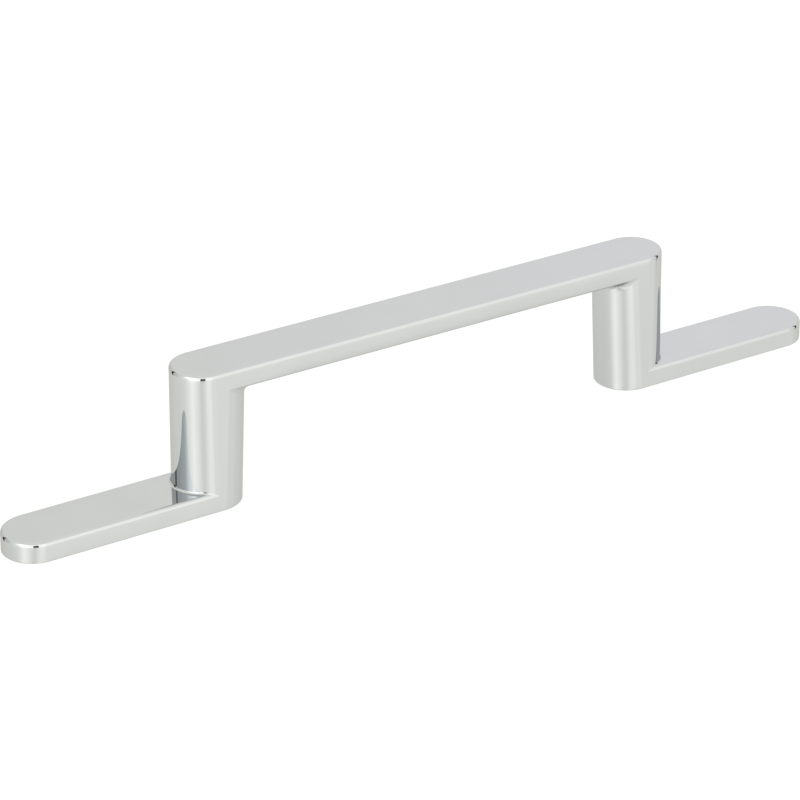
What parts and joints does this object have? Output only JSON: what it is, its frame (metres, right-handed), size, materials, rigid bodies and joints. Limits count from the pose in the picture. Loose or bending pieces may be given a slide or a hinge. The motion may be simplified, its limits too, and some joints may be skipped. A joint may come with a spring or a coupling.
{
  "type": "bar pull",
  "caption": "Polished chrome bar pull for a drawer or door: a flat round-ended bar raised on posts, with flat feet reaching outward along the mounting face.",
  "frame": {"origin": "middle of the mounting plane, halfway between the screw holes", "axes": "+X along the bar, +Y across it, +Z away from the drawer or door front"},
  "size_m": [0.18, 0.0124, 0.028],
  "materials": {
    "chrome": "polished"
  },
  "bodies": {
    "root": {"bar_pull": "chrome"}
  },
  "joints": []
}
